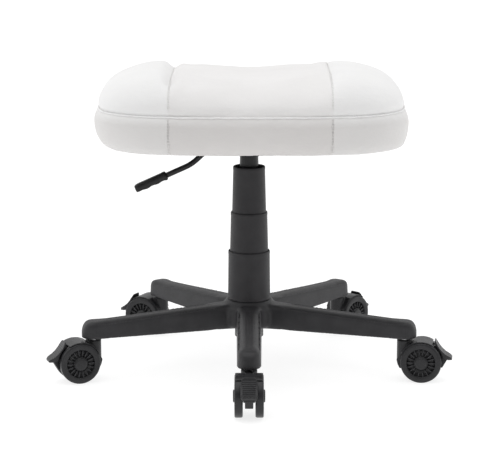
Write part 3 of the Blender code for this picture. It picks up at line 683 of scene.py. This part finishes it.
def mark_seams(mesh, places):
    """Point attributes for the leather: how near a seam, for the grey of dirt and painted shade there,
    how far into the middle panel, and how far down the side band, for its painted shade.
    """
    seam = np.zeros(len(mesh.vertices))
    # Seam values set the grey of dirt and painted shade along the seams.
    for offset, value in ((-1, 0.03), (1, 0.03), (0, 0.12)):
        for column in SEAM_COLUMNS:
            for j in range(ROWS + 1):
                seam[places["grid"][column + offset, j]] = value
    for number, value in ((SEAM_RING, 0.08), (SEAM_RING + 1, 0.28)):
        for index in places["rings"][number]:
            seam[index] = max(seam[index], value)
    for ring in places["rings"][SEAM_RING + 2:]:
        for k, (i, j) in enumerate(places["rim"]):
            if i in SEAM_COLUMNS and j in (0, ROWS):
                seam[ring[k]] = 0.04
    x = coordinates(mesh)[:, 0] / (SEAT_HALF_X - TOP_INSET)
    left, right = PANEL_SEAMS[0][0], PANEL_SEAMS[1][0]
    inside = np.clip(np.minimum(x - left, right - x) / 0.02 + 0.5, 0.0, 1.0)
    # How far down the side band, which sets how much painted shade the band takes.
    side = np.zeros(len(mesh.vertices))
    for number, ring in enumerate(places["rings"]):
        side[ring] = min(1.0, max(0.0, (number - SEAM_RING - 1) / 4))
    for name, values in (("seam", seam), ("middle", inside), ("side", side)):
        attribute = mesh.attributes.new(name, "FLOAT", "POINT")
        attribute.data.foreach_set("value", values)


def build_seat():
    mesh, places = seat_skin()
    swell(mesh, places, pressure=4.0, frames=20, cap=0.008)
    pucker(mesh, places)
    sink_band_seams(mesh, places)
    mark_seams(mesh, places)
    rough = coordinates(mesh)
    fine = evaluated(mesh, ("SUBSURF", {"levels": 1, "render_levels": 1}))
    at = Matrix.Translation(SEAT_CENTRE)
    cover = piece("seat_upholstery", fine, "leather", "seat", ("seat_cover", "seat_foam"), at)
    points = [Vector(p) for p in rough]
    piece("seam_welt", seam_welt(points, places), "leather", "seat", (), at)
    piece("seat_stitches", stitches(points, places), "thread", "seat", (), at)


def sink_band_seams(mesh, places):
    """The upright seams of the side band are drawn in as narrow grooves."""
    points = coordinates(mesh)
    for ring in places["rings"][SEAM_RING + 2:-HEM_RINGS + 1]:
        for k, (i, j) in enumerate(places["rim"]):
            if i in SEAM_COLUMNS and j in (0, ROWS):
                inward = 1.0 if j == 0 else -1.0
                points[ring[k]][1] += inward * 0.0001
    set_coordinates(mesh, points)


def seam_welt(points, places):
    """The turned edge of the band: a thin roll just below the seam."""
    seam, below = places["rings"][SEAM_RING + 1], places["rings"][SEAM_RING + 2]
    path = []
    for high, low in zip(seam, below):
        middle = points[high].lerp(points[low], 0.62)
        path.append(middle + outward(middle) * 0.0009)
    return tube_along(path, 0.00125, 8, closed=True)


def outward(point):
    """Level direction away from the seat's outline at a point of its edge."""
    n = SEAT_CORNER - 1
    x = math.copysign(abs(point.x / SEAT_HALF_X) ** n / SEAT_HALF_X, point.x)
    y = math.copysign(abs(point.y / SEAT_HALF_Y) ** n / SEAT_HALF_Y, point.y)
    return Vector((x, y, 0.0)).normalized()


def resampled(path, pitch):
    """Points at an even pitch along a path, as (place, direction) pairs."""
    result = []
    left = 0.0
    for a, b in zip(path, path[1:]):
        length = (b - a).length
        if length == 0.0:
            continue
        along = (b - a) / length
        while left < length:
            result.append((a + along * left, along))
            left += pitch
        left -= length
    return result


def upward(_point):
    return Vector((0.0, 0.0, 1.0))


def stitch_lines(points, places):
    """Rows of top stitching: (path, lift direction function)."""
    rings, rim = places["rings"], places["rim"]
    lines = []
    for column in SEAM_COLUMNS:
        for offset in (-1, 1):
            row = [points[places["grid"][column + offset, j]] for j in range(1, ROWS)]
            lines.append((row, upward))
            for k, (i, j) in enumerate(rim):
                if i == column + offset and j in (0, ROWS):
                    side = [points[ring[k]] for ring in rings[SEAM_RING + 3:-HEM_RINGS]]
                    lines.append((side, outward))
    return lines


def stitches(points, places):
    bm = bmesh.new()
    for path, lift in stitch_lines(points, places):
        for place, along in resampled(path, 0.0045):
            normal = lift(place)
            ends = (place - along * 0.0016, place, place + along * 0.0016)
            bar = tube_along([ends[0], ends[1] + normal * 0.0005, ends[2]], 0.00032, 5)
            bm.from_mesh(bar)
            bpy.data.meshes.remove(bar)
    return mesh_from(bm, "stitches")


def scaled_in(inset):
    """Shares of the top panel's half length and half depth that leave the inset free."""
    across = (SEAT_HALF_X - inset) / (SEAT_HALF_X - TOP_INSET)
    deep = (SEAT_HALF_Y - inset) / (SEAT_HALF_Y - TOP_INSET)
    return across, deep


def dust_cloth():
    """The cloth under the seat, with a little slack in it beyond the plate."""
    bm = bmesh.new()
    cells = 40
    across, deep = scaled_in(CLOTH_INSET)
    grid = {}
    for i in range(cells + 1):
        for j in range(cells + 1):
            x, y = top_point(2 * i / cells - 1, 2 * j / cells - 1)
            x *= across
            y *= deep
            over_plate = 1 - smooth_step((max(abs(x), abs(y)) - 0.095) / 0.02)
            slack = 0.0005 * noise.noise(Vector((x * 40, y * 40, 0.0))) * (1 - over_plate)
            grid[i, j] = bm.verts.new((x, y, SEAT_BOTTOM + 0.0007 + slack))
    for i in range(cells):
        for j in range(cells):
            bm.faces.new((grid[i, j], grid[i, j + 1], grid[i + 1, j + 1], grid[i + 1, j]))
    thick = ("SOLIDIFY", {"thickness": CLOTH_THICKNESS, "offset": 0.0})
    return evaluated(mesh_from(bm, "cloth"), thick)


def hem_staples():
    """Staples in a row along the hem of the cover."""
    across, deep = scaled_in(STAPLE_INSET)
    path = []
    for k in range(241):
        angle = 2 * math.pi * k / 240
        c, s = math.cos(angle), math.sin(angle)
        x = math.copysign(abs(c) ** (2 / SEAT_CORNER), c) * (SEAT_HALF_X - TOP_INSET) * across
        y = math.copysign(abs(s) ** (2 / SEAT_CORNER), s) * (SEAT_HALF_Y - TOP_INSET) * deep
        path.append(Vector((x, y, SEAT_BOTTOM - 0.0004)))
    staples = bmesh.new()
    into_hem = Vector((0.0, 0.0, 0.0008))
    for place, along in resampled(path, 0.028):
        ends = (place - along * 0.0050, place + along * 0.0050)
        bar = tube_along([ends[0] + into_hem, *ends, ends[1] + into_hem], 0.00035, 6)
        staples.from_mesh(bar)
        bpy.data.meshes.remove(bar)
    return mesh_from(staples, "staples")


def build_underside():
    at = Matrix.Translation(SEAT_CENTRE)
    piece("dust_cloth", dust_cloth(), "fleece", "seat", ("underside_cover",), at)
    piece("hem_staples", hem_staples(), "bright_steel", "seat", (), at)


# ---------------------------------------------------------------- base and column
RIDGE_HALF = 0.0125             # half width of the rounded top of a leg
RIDGE_DROP = 0.0026             # how much lower its edges are than its middle
DISH_HALF = 0.0045              # half width of the hollow along the top of a leg
DISH_DEPTH = 0.0012
LEG_TOP = (0.0430, 0.1010, 0.2414, 0.0893)   # reach and height at the root, then at the tip


def along_leg(points, angle):
    """Distance of each point out along a leg, and sideways from the leg's middle."""
    c, s = math.cos(math.radians(angle)), math.sin(math.radians(angle))
    x, y = points[:, 0] - COLUMN.x, points[:, 1] - COLUMN.y
    return x * c + y * s, y * c - x * s


def build_base():
    mesh = moulded(cad_mesh("base_star"), 0.0017, 9)
    points = coordinates(mesh)
    centre = np.linalg.norm(points[:, :2] - np.array(COLUMN)[:2], axis=1)
    near_hub = np.clip(1 - np.abs(centre - 0.052) / 0.020, 0.0, 1.0)
    mesh = softened(mesh, near_hub, 24)
    points = coordinates(mesh)
    facing = normals(mesh)
    root, root_top, tip, tip_top = LEG_TOP
    drop = np.zeros(len(points))
    for angle in LEG_ANGLES:
        reach, across = along_leg(points, angle)
        top = root_top + (tip_top - root_top) * (reach - root) / (tip - root)
        on_top = (points[:, 2] > top - 0.0045) & (facing[:, 2] > 0.1) & (np.abs(across) < 0.0150)
        start = np.clip((reach - 0.050) / 0.020, 0.0, 1.0)
        end = np.clip((0.240 - reach) / 0.020, 0.0, 1.0)
        ridge = RIDGE_DROP * np.clip(np.abs(across) / RIDGE_HALF, 0.0, 1.0) ** 1.6
        hollow = DISH_DEPTH * np.cos(np.pi / 2 * np.clip(across / DISH_HALF, -1.0, 1.0)) ** 2
        drop += np.where(on_top, (ridge + hollow) * start * end, 0.0)
    points[:, 2] -= drop
    set_coordinates(mesh, points)
    piece("star_base", mesh, "nylon", "base", ("base_star",))


def sleeve_profile(low_radius, high_radius, bottom, top):
    """A conical cover: bead at the foot, rolled rim at the head."""
    wall = 0.0013
    return (
        (low_radius - wall, bottom),
        (low_radius - 0.0003, bottom),
        (low_radius, bottom + 0.0004),
        (low_radius, bottom + 0.0022),
        (low_radius - 0.0005, bottom + 0.0030),
        (low_radius - 0.0006, bottom + 0.0042),
        (high_radius - 0.0002, top - 0.0060),
        (high_radius, top - 0.0044),
        (high_radius, top - 0.0014),
        (high_radius - 0.0004, top - 0.0004),
        (high_radius - 0.0009, top),
        (high_radius - wall, top - 0.0003),
        (high_radius - wall, top - 0.0040),
    )


SLEEVES = {                     # body, radius at the foot and at the head, bottom, top
    "sleeve_lower": ("base", 0.0323, 0.0313, 0.1061, 0.1793),
    "sleeve_middle": ("cover_middle", 0.0294, 0.0275, 0.1670, 0.2383),
    "sleeve_upper": ("cover_upper", 0.0262, 0.0240, 0.2270, 0.3070),
}


def build_sleeves():
    at_column = Matrix.Translation(COLUMN)
    for node, (body, *sizes) in SLEEVES.items():
        mesh = turned(sleeve_profile(*sizes))
        piece(node + "_shell", mesh, "cover_plastic", body, (node,), at_column)


# ---------------------------------------------------------------- lever
LEVER_PATH = ((-0.0200, 0.3355), (-0.0574, 0.3355), (-0.0856, 0.3095), (-0.1640, 0.2743))
LEVER_RADIUS = 0.0041
GRIP_LENGTH = 0.0520
GRIP_FROM_CORNER = 0.0400
GRIP_HALF_WIDTH = 0.0076
GRIP_STATIONS = 26              # lengthwise steps of the grip
GRIP_SIDES = 20
TONGUE_LOW = (-0.0240, -0.0040, 0.3360)     # the bar's flat end, which presses the button
TONGUE_HIGH = (0.0050, 0.0040, 0.3388)
TONGUE_TRIM = 0.0006            # bevel at the ends of the tongue
GRIP_HALF_HEIGHT = 0.0068


def rounded_path(points, radius, steps=8):
    path = [points[0]]
    for before, corner, after in zip(points, points[1:], points[2:]):
        start = corner + (before - corner).normalized() * radius
        end = corner + (after - corner).normalized() * radius
        for i in range(steps + 1):
            t = i / steps
            path.append(start * (1 - t) ** 2 + corner * (2 * t * (1 - t)) + end * t ** 2)
    path.append(points[-1])
    return path


def squarish(value):
    return math.copysign(abs(value) ** 0.75, value)


def lever_tongue():
    """The flattened inner end of the bar."""
    start, end = TONGUE_LOW[0], TONGUE_HIGH[0]
    front, back = COLUMN.y - TONGUE_HIGH[1], COLUMN.y + TONGUE_HIGH[1]
    sections = []
    for x in (start, start + 0.001, end - 0.002, end):
        trim = TONGUE_TRIM if x in (start, end) else 0.0
        near, far = front + trim, back - trim
        low, high = TONGUE_LOW[2] + trim / 2, TONGUE_HIGH[2] - trim / 2
        sections.append([(x, near, low), (x, far, low), (x, far, high), (x, near, high)])
    return loft(sections)


def lever_grip(corner, end):
    """The moulded grip, with rounded ends and three finger hollows on its lower side."""
    along = (end - corner).normalized()
    up = Vector((0.0, 1.0, 0.0)).cross(along)
    start = corner + along * GRIP_FROM_CORNER
    rings = []
    for k in range(GRIP_STATIONS + 1):
        share = k / GRIP_STATIONS
        ends = min(share, 1 - share) * GRIP_STATIONS
        taper = (0.82, 0.95, 1.0)[int(ends)] if ends < 3 else 1.0
        flare = 0.0006 * math.exp(-((share - 0.06) / 0.05) ** 2)
        scallop = 0.0013 * (0.5 - 0.5 * math.cos(6 * math.pi * share)) * (1 if 0.05 < share < 0.95 else 0)
        centre = start + along * (GRIP_LENGTH * share)
        ring = []
        for i in range(GRIP_SIDES):
            angle = 2 * math.pi * i / GRIP_SIDES
            wide = GRIP_HALF_WIDTH * taper * squarish(math.cos(angle))
            tall = (GRIP_HALF_HEIGHT + flare) * taper * squarish(math.sin(angle))
            if tall < 0:
                tall += scallop * abs(math.sin(angle))
            ring.append(centre + Vector((0.0, wide, 0.0)) + up * tall)
        rings.append(ring)
    return evaluated(loft(rings), ("SUBSURF", {"levels": 1, "render_levels": 1}))


def build_lever():
    points = [Vector((x, COLUMN.y, z)) for x, z in LEVER_PATH]
    rod = tube_along(rounded_path(points, 0.0100), LEVER_RADIUS, 24)
    bar = joined([rod, lever_tongue()])
    piece("lever_bar", bar, "black_steel", "lever", ("lever_rod",))
    grip = lever_grip(points[2], points[3])
    piece("lever_handle", grip, "grip_plastic", "lever", ("lever_grip",))


# ---------------------------------------------------------------- casters
def caster_frame(name):
    """Stem axis as the origin, trail along +X."""
    stem = middle_of(name + "_caster_stem")
    axle = middle_of(name + "_caster_axle")
    heading = math.atan2(axle.y - stem.y, axle.x - stem.x)
    return Matrix.Translation((stem.x, stem.y, 0.0)) @ Matrix.Rotation(heading, 4, "Z")


WHEEL_PROFILE = (               # (radius, distance from the caster's middle), from the hub out
    (0.0, 0.0224),
    (0.0070, 0.0224),
    (0.0083, 0.0221),
    (0.0089, 0.0214),
    (0.0090, 0.0197),
    (0.0099, 0.0197),
    (0.0102, 0.0193),
    (0.0102, 0.0158),
    (0.0209, 0.0158),
    (0.0209, 0.0191),
    (0.0213, 0.0197),
    (0.0226, 0.0200),
    (0.0262, 0.0203),
    (0.0285, 0.0202),
    (0.0296, 0.0196),
    (WHEEL_RADIUS, 0.0185),
    (WHEEL_RADIUS, 0.0115),
    (0.0297, 0.0098),
    (0.0288, 0.0089),
    (0.0275, 0.0087),
    (0.0034, 0.0087),
    (0.0034, 0.0180),
    (0.0, 0.0180),
)
SPOKES = 18


def wheel_mesh():
    """Twin-wheel half: smooth tread, recessed face with thin raised spokes, hub cap. The axle is +Z."""
    parts = [turned(WHEEL_PROFILE, 72)]
    for k in range(SPOKES):
        turn = Matrix.Rotation(2 * math.pi * k / SPOKES, 4, "Z")
        sections = []
        for radius, half in ((0.0098, 0.0007), (0.0155, 0.0009), (0.0213, 0.0012)):
            outline = ((-half, 0.0150), (half, 0.0150), (half * 0.85, 0.0186))
            outline += ((half * 0.45, 0.0191), (-half * 0.45, 0.0191), (-half * 0.85, 0.0186))
            sections.append([turn @ Vector((radius, across, out)) for across, out in outline])
        parts.append(loft(sections))
    return joined(parts)


PEDAL_TIP = (TRAIL + 0.0188, 0.0622)
PEDAL_LIP = (TRAIL + 0.0452, 0.0362)
RIB_PITCH = 0.0030
RIB_HEIGHT = 0.00035


def pedal_mesh(local):
    """Brake pedal: a bent shield with a round tip, and cross ribs for the shoe."""
    mesh = moulded(local, 0.0006, 3)
    points = coordinates(mesh)
    facing = normals(mesh)
    along = np.array(PEDAL_LIP) - np.array(PEDAL_TIP)
    length = float(np.linalg.norm(along))
    along /= length
    out = np.array((-along[1], along[0]))
    place = points[:, (0, 2)] - np.array(PEDAL_TIP)
    reach = place @ along
    share = np.clip(reach / length, 0.0, 1.0)
    tip = np.clip((0.30 - share) / 0.30, 0.0, 1.0)
    lip = np.clip((share - 0.74) / 0.26, 0.0, 1.0)
    narrow = np.sqrt(1 - 0.75 * tip ** 2) * np.sqrt(1 - 0.60 * lip ** 2)
    points[:, 1] *= np.where(place @ out > -0.0085, narrow, 1.0)
    face = facing[:, (0, 2)] @ out
    ribbed = (np.abs(points[:, 1]) < 0.0090) & (share > 0.12) & (share < 0.90) & (face > 0.5)
    lift = np.where(ribbed, RIB_HEIGHT * np.sin(2 * np.pi * reach / RIB_PITCH), 0.0)
    points[:, 0] += lift * out[0]
    points[:, 2] += lift * out[1]
    set_coordinates(mesh, points)
    return mesh


STEM_PROFILE = (                # (radius, height), from the grip end down to the hood
    (0.0, 0.0844),
    (0.0040, 0.0844),
    (0.0053, 0.0830),
    (0.0055, 0.0790),
    (0.0055, 0.0638),
    (0.0083, 0.0638),
    (0.0085, 0.0634),
    (0.0085, 0.0617),
    (0.0083, 0.0613),
    (0.0055, 0.0613),
    (0.0055, 0.0402),
    (0.0, 0.0402),
)


def fender_lip():
    """The front of the fender, which comes down over the treads to the pedal."""
    sections = []
    for degrees in (58, 64, 70, 76, 84):
        c, s = math.cos(math.radians(degrees)), math.sin(math.radians(degrees))
        inner, outer = WHEEL_RADIUS + 0.0006, WHEEL_RADIUS + 0.0020
        corners = ((inner, -0.0196), (outer, -0.0196), (outer, 0.0196), (inner, 0.0196))
        sections.append([(TRAIL + r * c, y, WHEEL_RADIUS + r * s) for r, y in corners])
    return loft(sections)


def build_casters():
    home = caster_frame(CASTERS[0]).inverted()
    local = {}
    for node in ("caster_hood", "brake_pedal"):
        mesh = cad_mesh(f"{CASTERS[0]}_{node}")
        mesh.transform(home)
        local[node] = mesh
    hood = moulded(joined([local["caster_hood"], fender_lip()]), 0.0008, 7)
    pedal = pedal_mesh(local["brake_pedal"])
    wheel = wheel_mesh()
    stem = turned(STEM_PROFILE, 40)
    for name in CASTERS:
        at = caster_frame(name)
        body = name + "_caster"
        piece(name + "_hood", hood.copy(), "wheel_nylon", body, (name + "_caster_hood",), at)
        piece(name + "_pedal", pedal.copy(), "wheel_nylon", name + "_pedal",
              (name + "_brake_pedal",), at)
        piece(name + "_stem", stem.copy(), "bright_steel", "base",
              (name + "_caster_stem",), at)
        axle = at @ Matrix.Translation((TRAIL, 0.0, WHEEL_RADIUS))
        for side in ("left", "right"):
            node = f"{name}_wheel_{side}"
            sign = wheel_side(node, at)
            facing = Matrix.Rotation(math.radians(-90 * sign), 4, "X")
            piece(f"{name}_{side}_wheel_face", wheel.copy(), "wheel_nylon", f"{name}_{side}_wheel",
                  (node,), axle @ facing)


def wheel_side(node, at):
    """+1 if the wheel lies on the +Y side of its caster, -1 if on the other."""
    return 1 if (at.inverted() @ middle_of(node)).y > 0 else -1


# ---------------------------------------------------------------- CAD nodes that stay
def finish_cad_nodes():
    finishes = {
        "column_tube": "black_steel",
        "gas_cylinder": "black_steel",
        "mounting_plate": "black_steel",
        "taper_socket": "black_steel",
        "seat_board": "plywood",
        "column_bushing": "nylon",
    }
    for name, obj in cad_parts.items():
        finish = FINISH[finishes.get(name, "bright_steel")]
        for slot in obj.material_slots:
            slot.material = finish


# ---------------------------------------------------------------- studio
SUN_STRENGTH = 0.72
SUN_SOFTNESS = math.radians(60)
SUN_TURN = [math.radians(v) for v in (14, -12, 0)]
BRIGHTEST_AT = 0.25             # Y of the brightest directions; 0 is sideways or up, 1 the back
ROOM_LIGHT = {"From Min": 0.40, "From Max": 1.20, "To Min": 1.05, "To Max": 0.14}
CAMERA_LENS = 143.3             # millimetres, on a 36 mm sensor
CAMERA_SHIFT = -0.0084
CAMERA_DISTANCE = 2.86
CAMERA_HEIGHT = 0.79
CAMERA_LOOKS_DOWN = 11.63       # degrees


def build_studio():
    bm = bmesh.new()
    bmesh.ops.create_grid(bm, x_segments=8, y_segments=8, size=14.0)
    floor = bpy.data.objects.new("studio_floor", mesh_from(bm, "studio_floor"))
    floor.data.materials.append(floor_material())
    bpy.context.scene.collection.objects.link(floor)
    world = bpy.data.worlds.new("studio")
    world.use_nodes = True
    soft_box_room(world.node_tree)
    bpy.context.scene.world = world
    light = bpy.data.lights.new("overhead", "SUN")
    light.energy = SUN_STRENGTH
    light.angle = SUN_SOFTNESS
    lamp = bpy.data.objects.new("overhead", light)
    lamp.rotation_euler = SUN_TURN
    bpy.context.scene.collection.objects.link(lamp)
    view = bpy.context.scene.view_settings
    view.view_transform = "Standard"
    view.look = "None"


def soft_box_room(tree):
    """White walls at the sides and above, a greyer one behind and a dim one in front."""
    where = tree.nodes.new("ShaderNodeTexCoord").outputs["Generated"]
    split = tree.nodes.new("ShaderNodeSeparateXYZ")
    level = tree.nodes.new("ShaderNodeMapRange")
    level.interpolation_type = "SMOOTHSTEP"
    tree.links.new(where, split.inputs["Vector"])
    shifted = tree.nodes.new("ShaderNodeMath")
    shifted.operation = "SUBTRACT"
    shifted.inputs[1].default_value = BRIGHTEST_AT
    away = tree.nodes.new("ShaderNodeMath")
    away.operation = "ABSOLUTE"
    tree.links.new(split.outputs["Y"], shifted.inputs[0])
    tree.links.new(shifted.outputs["Value"], away.inputs[0])
    tree.links.new(away.outputs["Value"], level.inputs["Value"])
    for key, value in ROOM_LIGHT.items():
        level.inputs[key].default_value = value
    tree.nodes["Background"].inputs["Color"].default_value = (1.0, 1.0, 1.0, 1.0)
    tree.links.new(level.outputs["Result"], tree.nodes["Background"].inputs["Strength"])


def build_camera():
    data = bpy.data.cameras.new("camera")
    data.sensor_width = 36.0
    data.lens = CAMERA_LENS
    data.shift_x = CAMERA_SHIFT
    camera = bpy.data.objects.new("camera", data)
    camera.location = (0.0, COLUMN.y - CAMERA_DISTANCE, CAMERA_HEIGHT)
    camera.rotation_euler = (math.radians(90 - CAMERA_LOOKS_DOWN), 0.0, 0.0)
    bpy.context.scene.collection.objects.link(camera)
    bpy.context.scene.camera = camera


# ---------------------------------------------------------------- assembly
build_camera()
build_studio()
finish_cad_nodes()
build_base()
build_sleeves()
build_lever()
build_casters()
build_seat()
build_underside()
